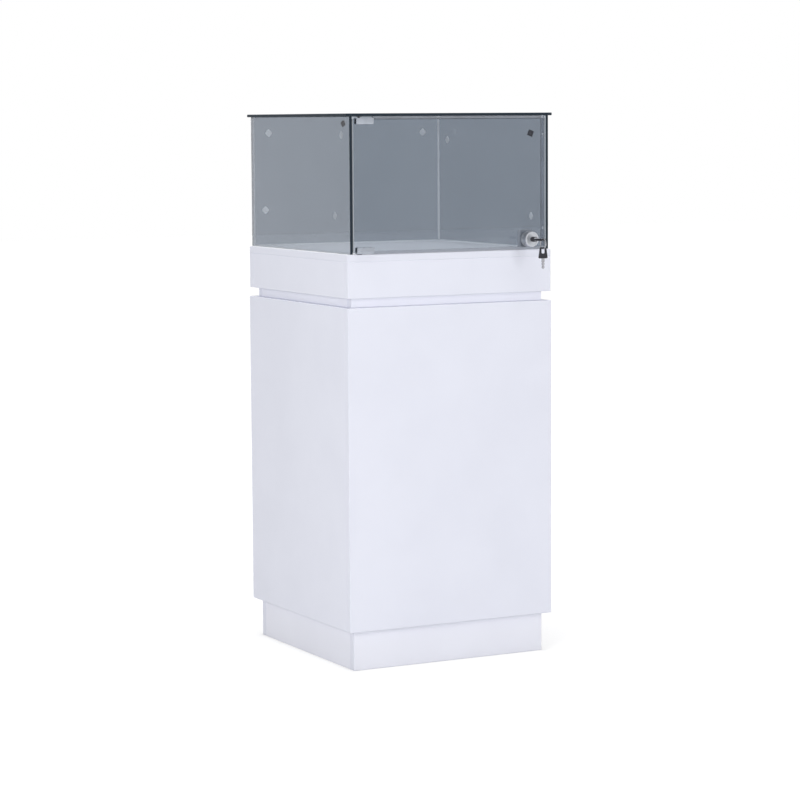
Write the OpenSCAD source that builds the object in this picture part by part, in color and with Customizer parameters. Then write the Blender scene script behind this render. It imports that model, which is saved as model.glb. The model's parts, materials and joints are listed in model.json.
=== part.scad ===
// Pedestal display case: a white laminated pedestal with a recessed plinth and
// a shadow-gap neck, carrying a case of grey tinted glass. The front pane is a
// door on two pivot hinges, with a keyed lock that shoots a bolt into the deck.
// Millimetres. X runs along the front from left to right, Y from the front to
// the back and Z up. The origin is the centre of the footprint, on the floor.

/* [Pedestal] */
// Width of the cabinet, left to right
case_w = 500; // [420:10:700]
// Depth of the cabinet, front to back
case_d = 500; // [420:10:700]
// Height of the recessed plinth
plinth_h = 86; // [60:1:140]
// Recess of the plinth behind the cabinet faces
plinth_inset = 16; // [8:1:40]
// Height of the cabinet box
cabinet_h = 696; // [400:2:900]
// Height of the shadow gap under the collar
neck_h = 20; // [10:1:40]
// Recess of the shadow gap behind the cabinet faces
neck_inset = 16; // [8:1:30]
// Height of the collar below the deck board
collar_h = 78; // [50:1:140]
// Thickness of the laminated boards
board_t = 18; // [15:1:22]
// Thickness of the deck board
deck_t = 15; // [14:1:22]

/* [Glass] */
// Height of the glass walls above the deck
wall_h = 291; // [240:1:500]
// Thickness of every pane
glass_t = 6; // [5:0.5:8]
// Set-in of the side panes from the cabinet sides
side_inset = 7.5; // [4:0.5:20]
// Set-in of the panes' edges from the front and back of the cabinet
end_inset = 1; // [0:0.5:10]
// Overhang of the top pane beyond the cabinet
top_overhang = 1; // [0:0.5:10]

/* [Door] */
// Gap between the door and the pane on the hinge side
hinge_gap = 2; // [2:0.5:10]
// Gap between the door and the pane on the lock side
lock_gap = 2; // [1:0.5:4]
// Gap between the door and the deck
door_gap_bottom = 4; // [3.5:0.5:6]
// Gap between the door and the top pane
door_gap_top = 5.5; // [5:0.5:8]
// Distance of the pivot from the door's hinge edge
pivot_inset = 17; // [9:0.5:20]
// Length of a hinge clamp along the door
clamp_w = 41; // [38:1:60]
// Height of a hinge clamp over the glass
clamp_h = 11; // [11:1:20]

/* [Lock] */
// Distance of the lock's axis from the right of the cabinet
lock_from_right = 60.5; // [50:0.5:90]
// Height of the lock's axis above the deck
lock_rise = 23; // [23:1:40]
// Radius of the lock's round head
lock_head_r = 16.5; // [14:0.5:18]
// Length of the lock's head in front of the glass
lock_head_l = 22; // [16:1:26]
// Radius of the crank that drives the bolt
crank_r = 7; // [6:0.5:7]
// Width of a key's bow
bow_w = 21; // [18:1:24]
// Length of a key's bow
bow_l = 24; // [22:1:28]
// Length of a key's blade
blade_l = 23; // [22:1:27]

/* [Hidden] */
$fn = 48;

ease = 0.8;              // eased edge of a laminated board
arris = 0.6;             // ground edge of a pane
fit = 0.05;              // radial clearance of a turning fit
over = 1;                // how far a cutter runs past a face

// heights of the pedestal, from the floor
cabinet_z = plinth_h;
cabinet_top = cabinet_z + cabinet_h;
collar_z = cabinet_top + neck_h;
deck_z = collar_z + collar_h;
deck_top = deck_z + deck_t;
wall_top = deck_top + wall_h;
case_top = wall_top + glass_t;

// plans, as half widths and half depths
half_w = case_w / 2;
half_d = case_d / 2;
collar_inset = 1;
collar_x = half_w - collar_inset;
collar_y = half_d - collar_inset;
plinth_x = half_w - plinth_inset;
plinth_y = half_d - plinth_inset;
neck_x = half_w - neck_inset;
neck_y = half_d - neck_inset;

// blocks, battens and screws inside the pedestal
plinth_block = 40;
collar_block = 30;
batten = 22;
base_t = 15;
screw_r = 2;
screw_head_r = 4;
screw_head_l = 2.2;
screw_l = 34;
back_screw_rows = 4;
back_screw_margin = 70;

// glass walls
pane_x = half_w - side_inset;
pane_in_x = pane_x - glass_t;
pane_y = half_d - end_inset;
bead = 3.2;
pad_w = 14;
pad_t = 1;
// centres of the clear pads on each pane: along the pane, height above deck
back_pads = [[-197.5, 255], [194.5, 254.5], [-207.5, 81]];
left_pads = [[-205, 251.5], [-172, 80.5]];
right_pads = [[-183.5, 70.5], [200.5, 236.5]];
strip_w = 8;
strip_t = 5;
bumper_r = 3;
bumper_t = 0.9;
bumper_heights = [46, 250];

// door
door_front = -pane_y;
door_back = door_front + glass_t;
door_mid = (door_front + door_back) / 2;
door_left = -pane_in_x + hinge_gap;
door_right = pane_in_x - lock_gap;
door_z = deck_top + door_gap_bottom;
door_top = wall_top - door_gap_top;
strip_y = door_back + bumper_t + 0.2;
door_pad_w = 13;
door_pad_t = 1;
door_pad_at = [door_right - 34, door_top - 33];
door_pad_turn = 22;
door_pad_eye = 2.6;

// pivot hinges
pivot_x = door_left + pivot_inset;
pivot_back = 2.8;
pivot_y = door_mid + pivot_back;
clamp_x = door_left + 7;
clamp_wall = 3;
clamp_web = 2.5;
clamp_round = 2;
liner_t = 0.5;
pin_r = 2.5;
pin_hole_foot = 0.3;
pin_end_gap = 0.4;
bush_r = 4.5;
bush_flange_r = 5.4;
bush_flange_t = 1;
bush_cap = 1;
deck_bush_l = 12;
bush_floor = 2;
grub_r = 2;
grub_spread = 7;
grub_socket_r = 1.15;

// lock, measured along its axis as the distance in front of the case's middle
lock_x = half_w - lock_from_right;
lock_z = deck_top + lock_rise;
gasket_t = 0.8;
shank_r = 9.5;
glass_hole_r = 10.3;
plug_r = 6.45;
bore_r = plug_r + fit;
nose_r = 4.3;
nose_l = 13;
nose_cap_r = 5.6;
head_seat = -door_front + gasket_t;
head_face = -door_front + lock_head_l;
plug_face = head_face + 0.5;
nose_face = plug_face + nose_l;
case_seat = -door_back - gasket_t;
case_wall = 1.5;
nut_seat = case_seat - case_wall;
nut_t = 3;
nut_r = 12 / cos(30);
shank_end = nut_seat - nut_t - 0.5;
cam_face = shank_end - 0.2;
cam_t = 2.2;
cam_r = 9;
bolt_face = cam_face - cam_t - 0.2;
bolt_t = 4;
cover_face = bolt_face - bolt_t - 0.2;
case_x = 14.5;
case_low = door_z + 0.5;
case_high = lock_z + 20.5;
post_r = 2.2;
post_bite = 0.4;
case_screw_r = 1;
case_screw_l = 8;

// crank and bolt: the crank pin swings from 45 degrees above to 45 below level
crank_pin_r = 1.5;
cam_head_r = 3;
cam_head_l = 1.2;
cam_screw_l = 9;
crank_at = crank_r * cos(45);
bolt_travel = 2 * crank_at;
slot_play = 0.35;
bolt_x = 11;
tongue_x = 6;
guide_gap = 0.1;
bolt_low = deck_top + 3.5;
bolt_shoulder = lock_z - 2;
bolt_high = lock_z + 13;
tongue_mid = bolt_face - bolt_t / 2;

// strike in the deck
strike_x = 16;
strike_y = 7;
strike_t = 1.2;
strike_slot_x = 6.5;
strike_slot_y = 3;
strike_depth = 10;
strike_screw_x = 11.5;
strike_screw_r = 1.3;
strike_head_r = 2.6;
strike_screw_l = 12;

// keys
key_t = 2;
blade_w = 7;
bow_t = 4;
bow_end_w = 15;
bow_corner = 2.4;
bow_bar = 2.5;
bow_slot_l = 11;
bow_slot_w = 9.6;
grip_w = 12;
grip_l = 4;
tang_l = 8;
key_play = 0.2;
shank_out = 9;           // bare shank between the lock's nose and the bow
keyway_l = blade_l - shank_out + 1.5;
bow_seat = nose_face + shank_out;
bow_end = bow_seat + bow_l;
bar_mid = bow_end - bow_bar / 2;
cuts = [[3, 1.1], [6, 1.8], [9, 0.8], [12, 1.5]];

// ring: it hangs on the bar at the end of the bow
ring_wire_r = 0.8;
ring_r = 11.3;
ring_drop = 8.1;
ring_z = lock_z - ring_drop;
ring_low = ring_z - ring_r;
spare_gap = 0.4;
spare_top = ring_low + ring_wire_r + spare_gap + bow_bar;

// ---------------------------------------------------------------- helpers

// a rectangle from corner a to corner b with small chamfered corners
module eased_rect(a, b, e) {
  polygon([
    [a.x + e, a.y], [b.x - e, a.y], [b.x, a.y + e], [b.x, b.y - e],
    [b.x - e, b.y], [a.x + e, b.y], [a.x, b.y - e], [a.x, a.y + e]
  ]);
}

// a block from corner a to corner b
module block(a, b) {
  translate(a) cube(b - a);
}

// a block with every edge eased by e
module eased(a, b, e = ease) {
  intersection() {
    translate([0, 0, a.z]) linear_extrude(b.z - a.z)
      eased_rect([a.x, a.y], [b.x, b.y], e);
    translate([0, b.y, 0]) rotate([90, 0, 0]) linear_extrude(b.y - a.y)
      eased_rect([a.x, a.z], [b.x, b.z], e);
    translate([a.x, 0, 0]) rotate([90, 0, 90]) linear_extrude(b.x - a.x)
      eased_rect([a.y, a.z], [b.y, b.z], e);
  }
}

// a rectangle centred on the origin with round corners
module round_rect(w, h, r) {
  square([w - 2 * r, h], center = true);
  square([w, h - 2 * r], center = true);
  for (sx = [-1, 1], sy = [-1, 1])
    translate([sx * (w / 2 - r), sy * (h / 2 - r)]) circle(r);
}

// one board of a four-board frame: the front and back run the full width
module frame_end(x, y, z0, z1, side) {
  y0 = side > 0 ? y - board_t : -y;
  eased([-x, y0, z0], [x, y0 + board_t, z1]);
}

module frame_side(x, y, z0, z1, side) {
  x0 = side > 0 ? x - board_t : -x;
  eased([x0, board_t - y, z0], [x0 + board_t, y - board_t, z1]);
}

// four equal blocks in the corners of a plan
module corner_posts(x, y, w, z0, z1) {
  for (sx = [-1, 1], sy = [-1, 1])
    translate([sx * (x - w / 2), sy * (y - w / 2), (z0 + z1) / 2])
      cube([w, w, z1 - z0], center = true);
}

// a countersunk screw along -Z with its head's face at the origin
module countersunk_screw(r, head_r, head_l, len) {
  rotate_extrude() polygon([
    [0, 0], [head_r, 0], [r, -head_l], [r, 1 - len], [0.2, -len], [0, -len]
  ]);
}

// the hole that such a screw passes through
module screw_hole(r, head_r, head_l, len) {
  rotate_extrude() polygon([
    [0, over], [head_r + 0.2, over], [head_r + 0.2, 0], [r + 0.2, -head_l],
    [r + 0.2, -len], [0, -len]
  ]);
}

// ---------------------------------------------------------------- pedestal

module plinth_front() {
  color("gainsboro") frame_end(plinth_x, plinth_y, 0, plinth_h, -1);
}

module plinth_back() {
  color("gainsboro") frame_end(plinth_x, plinth_y, 0, plinth_h, 1);
}

module plinth_left() {
  color("gainsboro") frame_side(plinth_x, plinth_y, 0, plinth_h, -1);
}

module plinth_right() {
  color("gainsboro") frame_side(plinth_x, plinth_y, 0, plinth_h, 1);
}

// middle rail that carries the bottom panel
module plinth_stretcher() {
  color("burlywood")
    block([board_t - plinth_x, -board_t / 2, 0], [plinth_x - board_t, board_t / 2, plinth_h]);
}

module plinth_blocks() {
  color("burlywood")
    corner_posts(plinth_x - board_t, plinth_y - board_t, plinth_block, 4, plinth_h);
}

module bottom_panel() {
  color("whitesmoke")
    block([board_t - half_w, board_t - half_d, cabinet_z],
          [half_w - board_t, half_d - board_t, cabinet_z + board_t]);
}

// the sides run behind the front panel, which covers their front edges
module side_panel(side) {
  x0 = side > 0 ? half_w - board_t : -half_w;
  color("white")
    eased([x0, board_t - half_d, cabinet_z], [x0 + board_t, half_d, cabinet_top]);
}

module front_panel() {
  color("white")
    eased([-half_w, -half_d, cabinet_z], [half_w, board_t - half_d, cabinet_top]);
}

// screw places on the back panel, two columns into the rear battens
back_screws = [
  for (sx = [-1, 1], i = [0 : back_screw_rows - 1])
    [sx * (half_w - board_t - batten / 2),
     cabinet_z + back_screw_margin
       + i * (cabinet_h - 2 * back_screw_margin) / (back_screw_rows - 1)]
];

module back_panel() {
  color("white") difference() {
    eased([board_t - half_w, half_d - board_t, cabinet_z],
          [half_w - board_t, half_d, cabinet_top]);
    for (p = back_screws)
      translate([p[0], half_d, p[1]]) rotate([-90, 0, 0])
        screw_hole(screw_r, screw_head_r, screw_head_l, board_t + over);
  }
}

module cabinet_top_panel() {
  color("whitesmoke")
    block([board_t - half_w, board_t - half_d, cabinet_top - board_t],
          [half_w - board_t, half_d - board_t, cabinet_top]);
}

module corner_battens() {
  color("burlywood")
    corner_posts(half_w - board_t, half_d - board_t, batten,
                 cabinet_z + board_t, cabinet_top - board_t);
}

// screws of one size: through the back, and up through the collar into the deck
module panel_screws() {
  color("silver") {
    for (p = back_screws)
      translate([p[0], half_d - 0.1, p[1]]) rotate([-90, 0, 0])
        countersunk_screw(screw_r, screw_head_r, screw_head_l, screw_l);
    for (sx = [-1, 1], sy = [-1, 1])
      translate([sx * (neck_x - board_t / 2), sy * (neck_y - board_t / 2),
                 collar_z + base_t])
        countersunk_screw(screw_r, screw_head_r, screw_head_l, screw_l - 2);
  }
}

module neck_front() {
  color("gainsboro") frame_end(neck_x, neck_y, cabinet_top, collar_z, -1);
}

module neck_back() {
  color("gainsboro") frame_end(neck_x, neck_y, cabinet_top, collar_z, 1);
}

module neck_left() {
  color("gainsboro") frame_side(neck_x, neck_y, cabinet_top, collar_z, -1);
}

module neck_right() {
  color("gainsboro") frame_side(neck_x, neck_y, cabinet_top, collar_z, 1);
}

// board inside the foot of the collar that stands on the neck
module collar_base() {
  color("whitesmoke") difference() {
    block([board_t - collar_x, board_t - collar_y, collar_z],
          [collar_x - board_t, collar_y - board_t, collar_z + base_t]);
    for (sx = [-1, 1], sy = [-1, 1])
      translate([sx * (neck_x - board_t / 2), sy * (neck_y - board_t / 2),
                 collar_z + base_t])
        screw_hole(screw_r, screw_head_r, screw_head_l, base_t + over);
  }
}

module collar_front() {
  color("white") frame_end(collar_x, collar_y, collar_z, deck_z, -1);
}

module collar_back() {
  color("white") frame_end(collar_x, collar_y, collar_z, deck_z, 1);
}

module collar_left() {
  color("white") frame_side(collar_x, collar_y, collar_z, deck_z, -1);
}

module collar_right() {
  color("white") frame_side(collar_x, collar_y, collar_z, deck_z, 1);
}

// glue blocks, set in from the corners so that the screws stay clear
module collar_blocks() {
  reach = collar_block + 12;
  color("burlywood")
    corner_posts(collar_x - board_t - reach, collar_y - board_t, collar_block,
                 collar_z + base_t, deck_z);
}

module deck_panel() {
  color("white") difference() {
    eased([-collar_x, -collar_y, deck_z], [collar_x, collar_y, deck_top]);
    translate([pivot_x, pivot_y, deck_top - deck_bush_l])
      cylinder(r = bush_r + 0.02, h = deck_bush_l + over);
    translate([lock_x, -tongue_mid, deck_top]) {
      block([-strike_x, -strike_y, -strike_t], [strike_x, strike_y, over]);
      block([-strike_slot_x, -strike_slot_y, -strike_depth],
            [strike_slot_x, strike_slot_y, over]);
    }
  }
}

// ---------------------------------------------------------------- glass case

module left_glass() {
  color("slategray", 0.5)
    eased([-pane_x, -pane_y, deck_top], [-pane_in_x, pane_y, wall_top], arris);
}

module right_glass() {
  color("slategray", 0.5)
    eased([pane_in_x, -pane_y, deck_top], [pane_x, pane_y, wall_top], arris);
}

module back_glass() {
  color("slategray", 0.5)
    eased([-pane_in_x, pane_y - glass_t, deck_top], [pane_in_x, pane_y, wall_top], arris);
}

// the top pane has a drilled hole for the pivot bush
module top_glass() {
  top_x = half_w + top_overhang;
  top_y = half_d + top_overhang;
  color("slategray", 0.5) difference() {
    eased([-top_x, -top_y, wall_top], [top_x, top_y, case_top], 1);
    translate([pivot_x, pivot_y, wall_top - over])
      cylinder(r = bush_r + 0.02, h = glass_t + 2 * over);
  }
}

// clear bead along the foot of the three fixed panes and up the back corners
module glass_sealant() {
  inner_x = pane_in_x - bead;
  back_y = pane_y - glass_t;
  front_y = strip_y + strip_t;
  color("lightgray", 0.6) {
    for (side = [-1, 1]) intersection() {
      translate([0, front_y, deck_top]) rotate([-90, 0, 0])
        linear_extrude(back_y - front_y)
          polygon([[side * pane_in_x, 0], [side * inner_x, 0], [side * pane_in_x, -bead]]);
      linear_extrude(2 * case_top) polygon([
        [0, 2 * front_y], [side * pane_in_x, 2 * front_y],
        [side * pane_in_x, back_y], [side * inner_x, back_y - bead], [0, back_y - bead]
      ]);
    }
    intersection() {
      translate([-pane_in_x, back_y, deck_top]) rotate([90, 0, 90])
        linear_extrude(2 * pane_in_x) polygon([[0, 0], [-bead, 0], [0, bead]]);
      linear_extrude(2 * case_top) polygon([
        [-pane_in_x, back_y], [-inner_x, back_y - bead],
        [inner_x, back_y - bead], [pane_in_x, back_y]
      ]);
    }
    for (side = [-1, 1]) translate([0, 0, deck_top]) linear_extrude(wall_h)
      polygon([
        [side * pane_in_x, back_y], [side * inner_x, back_y],
        [side * pane_in_x, back_y - bead]
      ]);
  }
}

// clear square pads near the corners of the fixed panes
module glass_pads() {
  color("white", 0.6) {
    for (p = back_pads)
      translate([p[0], pane_y - glass_t - pad_t / 2, deck_top + p[1]])
        cube([pad_w, pad_t, pad_w], center = true);
    for (p = left_pads)
      translate([pad_t / 2 - pane_in_x, p[0], deck_top + p[1]])
        cube([pad_t, pad_w, pad_w], center = true);
    for (p = right_pads)
      translate([pane_in_x - pad_t / 2, p[0], deck_top + p[1]])
        cube([pad_t, pad_w, pad_w], center = true);
  }
}

// strip on the right pane that the closed door meets
module door_stop_strip() {
  color("dimgray", 0.6)
    eased([pane_in_x - strip_w, strip_y, deck_top],
          [pane_in_x, strip_y + strip_t, wall_top], arris);
}

module door_bumpers() {
  color("white", 0.6)
    for (h = bumper_heights)
      translate([pane_in_x - strip_w / 2, strip_y, deck_top + h]) rotate([90, 0, 0])
        rotate_extrude()
          polygon([[0, 0], [bumper_r, 0], [bumper_r - 0.5, bumper_t], [0, bumper_t]]);
}

// flanged nylon bush that fills the hole in the top pane
module top_pivot_bush() {
  color("whitesmoke") translate([pivot_x, pivot_y, wall_top]) rotate_extrude()
    polygon([
      [pin_r + fit, -bush_flange_t], [bush_flange_r, -bush_flange_t],
      [bush_flange_r, 0], [bush_r, 0], [bush_r, glass_t], [0, glass_t],
      [0, glass_t - bush_cap], [pin_r + fit, glass_t - bush_cap]
    ]);
}

// the door's weight stands on this bush's flange side by its blind bore
module deck_pivot_bush() {
  color("whitesmoke") translate([pivot_x, pivot_y, deck_top]) rotate_extrude()
    polygon([
      [0, -deck_bush_l], [bush_r, -deck_bush_l], [bush_r, 0], [bush_flange_r, 0],
      [bush_flange_r, bush_flange_t], [pin_r + fit, bush_flange_t],
      [pin_r + fit, bush_floor - deck_bush_l], [0, bush_floor - deck_bush_l]
    ]);
}

module strike_plate() {
  color("silver") translate([lock_x, -tongue_mid, deck_top]) difference() {
    block([-strike_x, -strike_y, -strike_t], [strike_x, strike_y, 0]);
    block([-strike_slot_x, -strike_slot_y, -strike_t - over],
          [strike_slot_x, strike_slot_y, over]);
    for (side = [-1, 1]) translate([side * strike_screw_x, 0, 0])
      screw_hole(strike_screw_r, strike_head_r, strike_t, strike_t + over);
  }
}

module strike_screws() {
  color("silver") for (side = [-1, 1])
    translate([lock_x + side * strike_screw_x, -tongue_mid, deck_top - 0.05])
      countersunk_screw(strike_screw_r, strike_head_r, strike_t, strike_screw_l);
}

// ---------------------------------------------------------------- glass door

module on_lock_axis() {
  translate([lock_x, 0, lock_z]) rotate([90, 0, 0]) children();
}

module door_glass() {
  color("slategray", 0.5) difference() {
    eased([door_left, door_front, door_z], [door_right, door_back, door_top], arris);
    on_lock_axis() translate([0, 0, -door_back - over])
      cylinder(r = glass_hole_r, h = glass_t + 2 * over);
  }
}

// square pad stuck askew on the inside of the door, with an eye in its middle
module door_pad() {
  color("dimgray") translate([door_pad_at[0], door_back + door_pad_t, door_pad_at[1]])
    rotate([90, 0, 0]) linear_extrude(door_pad_t) difference() {
      rotate(-door_pad_turn) square(door_pad_w, center = true);
      circle(door_pad_eye);
    }
}

// a channel folded over the door's edge; its open side points down
module hinge_clamp() {
  gap = glass_t / 2 + liner_t;
  out = gap + clamp_wall;
  color("silver") difference() {
    intersection() {
      translate([clamp_x, 0, 0]) rotate([90, 0, 90]) linear_extrude(clamp_w)
        polygon([
          [-out, -clamp_h], [-out, clamp_web - 1], [1 - out, clamp_web],
          [out - 1, clamp_web], [out, clamp_web - 1], [out, -clamp_h],
          [gap, -clamp_h], [gap, 0], [-gap, 0], [-gap, -clamp_h]
        ]);
      translate([clamp_x + clamp_w / 2, out + over, (clamp_web - clamp_h) / 2])
        rotate([90, 0, 0]) linear_extrude(2 * (out + over))
          round_rect(clamp_w, clamp_h + clamp_web, clamp_round);
    }
    translate([pivot_x, pivot_back, -pin_hole_foot])
      cylinder(r = pin_r + 0.02, h = clamp_web + pin_hole_foot + over);
    for (x = grub_places()) translate([x, gap - over, -clamp_h / 2]) rotate([-90, 0, 0])
      cylinder(r = grub_r + 0.02, h = clamp_wall + 2 * over);
  }
}

function grub_places() =
  [for (side = [-1, 1]) clamp_x + clamp_w / 2 + 4 + side * grub_spread];

// places a hinge piece on the door's top or bottom edge
module at_top_hinge() {
  translate([0, door_mid, door_top]) children();
}

module at_bottom_hinge() {
  translate([0, door_mid, door_z]) mirror([0, 0, 1]) children();
}

module top_hinge_clamp() {
  at_top_hinge() hinge_clamp();
}

module bottom_hinge_clamp() {
  at_bottom_hinge() hinge_clamp();
}

module pivot_pin(len) {
  translate([pivot_x, pivot_back, 0]) rotate_extrude()
    polygon([[0, 0], [pin_r, 0], [pin_r, len - 0.6], [pin_r - 0.6, len], [0, len]]);
}

module hinge_pins() {
  top_l = door_gap_top + glass_t - bush_cap - pin_end_gap;
  bottom_l = door_gap_bottom + deck_bush_l - bush_floor - pin_end_gap;
  color("silver") {
    at_top_hinge() pivot_pin(top_l);
    at_bottom_hinge() pivot_pin(bottom_l);
  }
}

module liner_pair() {
  for (side = [-1, 1])
    translate([clamp_x + clamp_w / 2, side * (glass_t + liner_t) / 2, -clamp_h / 2])
      cube([clamp_w - 2, liner_t, clamp_h - 2], center = true);
}

module hinge_liners() {
  color("dimgray") {
    at_top_hinge() liner_pair();
    at_bottom_hinge() liner_pair();
  }
}

// two hexagon-socket grub screws press each clamp's liner on the glass
module grub_pair() {
  y0 = glass_t / 2 + liner_t;
  for (x = grub_places()) translate([x, y0, -clamp_h / 2]) rotate([-90, 0, 0])
    difference() {
      cylinder(r = grub_r, h = clamp_wall - 0.3);
      translate([0, 0, 1]) cylinder(r = grub_socket_r, h = clamp_wall, $fn = 6);
    }
}

module hinge_grub_screws() {
  color("dimgray") {
    at_top_hinge() grub_pair();
    at_bottom_hinge() grub_pair();
  }
}

// ---------------------------------------------------------------- lock

// turned head in front of the glass and a shank through it
module lock_body() {
  rim = 2;
  dish = 1;
  dish_r = lock_head_r - 3.5;
  color("silver") on_lock_axis() rotate_extrude() {
    difference() {
      union() {
        translate([bore_r, shank_end]) square([shank_r - bore_r, head_seat - shank_end]);
        translate([bore_r, head_seat])
          square([lock_head_r - bore_r, lock_head_l - gasket_t - rim]);
        translate([bore_r, head_face - rim]) square([lock_head_r - rim - bore_r, rim]);
        intersection() {
          translate([lock_head_r - rim, head_face - rim]) circle(rim);
          translate([lock_head_r - rim, head_face - rim]) square(rim);
        }
      }
      translate([nose_cap_r, head_face - dish]) square([dish_r - nose_cap_r, dish + over]);
      translate([lock_head_r - 0.7, head_seat + 4]) square([2, 1.2]);
    }
  }
}

module lock_gaskets() {
  color("black") on_lock_axis() {
    translate([0, 0, -door_front]) linear_extrude(gasket_t) difference() {
      circle(lock_head_r - 1);
      circle(glass_hole_r);
    }
    translate([0, 0, case_seat]) linear_extrude(gasket_t) difference() {
      circle(shank_r + 4);
      circle(glass_hole_r);
    }
  }
}

module lock_nut() {
  color("silver") on_lock_axis() translate([0, 0, nut_seat - nut_t])
    linear_extrude(nut_t) difference() {
      rotate(30) circle(nut_r, $fn = 6);
      circle(shank_r + 0.02);
    }
}

// posts for the cover's screws, in the four corners of the lock case
post_in = case_wall + post_r - post_bite;
post_places = [
  for (sx = [-1, 1], z = [case_low + post_in, case_high - post_in])
    [lock_x + sx * (case_x - post_in), z]
];

// stamped case behind the glass, open at the back, that guides the bolt
module lock_case() {
  floor_y = -nut_seat;
  open_y = -cover_face;
  color("darkgray") difference() {
    union() {
      difference() {
        block([lock_x - case_x, -case_seat, case_low], [lock_x + case_x, open_y, case_high]);
        block([lock_x - case_x + case_wall, floor_y, case_low + case_wall],
              [lock_x + case_x - case_wall, open_y + over, case_high - case_wall]);
      }
      for (p = post_places) translate([p[0], open_y, p[1]]) rotate([90, 0, 0])
        cylinder(r = post_r, h = open_y - floor_y);
      for (side = [-1, 1]) {
        x0 = side * (bolt_x + guide_gap);
        x1 = side * (case_x - case_wall / 2);
        block([lock_x + min(x0, x1), -bolt_face - 0.2, bolt_shoulder - bolt_travel],
              [lock_x + max(x0, x1), open_y, bolt_high]);
      }
    }
    on_lock_axis() translate([0, 0, nut_seat - over])
      cylinder(r = shank_r + 0.1, h = case_wall + 2 * over);
    for (p = post_places) translate([p[0], open_y + over, p[1]]) rotate([90, 0, 0])
      cylinder(r = case_screw_r + 0.02, h = open_y - floor_y);
    block([lock_x - tongue_x - guide_gap, -bolt_face - 0.1, case_low - over],
          [lock_x + tongue_x + guide_gap, open_y + over, case_low + case_wall + over]);
  }
}

module lock_case_cover() {
  color("darkgray") difference() {
    block([lock_x - case_x, -cover_face, case_low],
          [lock_x + case_x, case_wall - cover_face, case_high]);
    for (p = post_places) translate([p[0], case_wall - cover_face, p[1]])
      rotate([-90, 0, 0])
        screw_hole(case_screw_r, 2 * case_screw_r, 1, case_wall + over);
  }
}

module lock_case_screws() {
  color("silver") for (p = post_places)
    translate([p[0], case_wall - cover_face - 0.05, p[1]]) rotate([-90, 0, 0])
      countersunk_screw(case_screw_r, 2 * case_screw_r, 1, case_screw_l);
}

// turning barrel with the keyway in its nose
module lock_plug() {
  color("silver") on_lock_axis() difference() {
    rotate_extrude() polygon([
      [0, cam_face], [plug_r, cam_face], [plug_r, plug_face], [nose_r, plug_face],
      [nose_r, nose_face - 0.5], [nose_r - 0.5, nose_face], [0, nose_face]
    ]);
    translate([0, 0, nose_face - keyway_l]) linear_extrude(keyway_l + over)
      square([blade_w + 2 * key_play, key_t + 2 * key_play], center = true);
    translate([0, 0, cam_face - over])
      cylinder(r = crank_pin_r + 0.02, h = cam_screw_l + over);
  }
}

module lock_nose_cap() {
  color("black") on_lock_axis() rotate_extrude() polygon([
    [nose_r + 0.02, plug_face], [nose_cap_r, plug_face], [nose_cap_r, nose_face - 1],
    [nose_cap_r - 1, nose_face], [nose_r + 0.02, nose_face]
  ]);
}

// disc on the tail of the plug, with the crank pin that moves the bolt
module lock_cam() {
  pin_l = bolt_t - 0.1;
  color("darkgray") on_lock_axis() difference() {
    union() {
      translate([0, 0, cam_face - cam_t]) cylinder(r = cam_r, h = cam_t);
      translate([crank_at, crank_at, cam_face - cam_t - pin_l - 0.1])
        cylinder(r = crank_pin_r, h = pin_l + 0.1 + cam_t / 2);
    }
    translate([0, 0, cam_face - cam_t]) rotate([180, 0, 0])
      screw_hole(crank_pin_r, cam_head_r, cam_head_l, cam_t + over);
  }
}

module lock_cam_screw() {
  color("silver") on_lock_axis() translate([0, 0, cam_face - cam_t + 0.05])
    rotate([180, 0, 0]) countersunk_screw(crank_pin_r, cam_head_r, cam_head_l, cam_screw_l);
}

// flat bolt: a body with the crank's slot, and a tongue that enters the strike
module lock_bolt() {
  reach_in = crank_at - crank_pin_r - slot_play;
  reach_out = crank_r + crank_pin_r + slot_play;
  slot_h = 2 * (crank_pin_r + slot_play);
  color("silver") translate([0, bolt_t - bolt_face, 0]) rotate([90, 0, 0])
    linear_extrude(bolt_t) difference() {
      union() {
        translate([lock_x - bolt_x, bolt_shoulder])
          square([2 * bolt_x, bolt_high - bolt_shoulder]);
        polygon([
          [lock_x - tongue_x, bolt_low + 1], [lock_x - tongue_x + 1, bolt_low],
          [lock_x + tongue_x - 1, bolt_low], [lock_x + tongue_x, bolt_low + 1],
          [lock_x + tongue_x, bolt_shoulder + 1], [lock_x - tongue_x, bolt_shoulder + 1]
        ]);
      }
      translate([lock_x + (reach_in + reach_out) / 2, lock_z + crank_at])
        round_rect(reach_out - reach_in, slot_h, slot_h / 2 - 0.01);
    }
}

// ---------------------------------------------------------------- keys

// a blade along +Y from the bow's shoulder at y = 0, flat in the XY plane
module blade() {
  tip = 3;
  translate([0, 0, -key_t / 2]) linear_extrude(key_t) difference() {
    polygon([
      [-blade_w / 2, -tang_l], [blade_w / 2, -tang_l], [blade_w / 2, blade_l - tip],
      [0.8, blade_l], [-0.8, blade_l], [-blade_w / 2, blade_l - tip]
    ]);
    for (c = cuts, side = [-1, 1])
      translate([side * blade_w / 2, 1 + blade_l - tip - c[0]]) rotate(45)
        square(c[1] * sqrt(2), center = true);
  }
}

// outline of the bow, from the shoulder at y = 0 back to y = -bow_l
module bow_outline() {
  a = bow_w / 2 - bow_corner;
  b = bow_end_w / 2 - bow_corner;
  hull() {
    for (side = [-1, 1]) {
      translate([side * a, -bow_corner]) circle(bow_corner, $fn = 24);
      translate([side * b, bow_corner - bow_l]) circle(bow_corner, $fn = 24);
    }
  }
}

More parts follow.
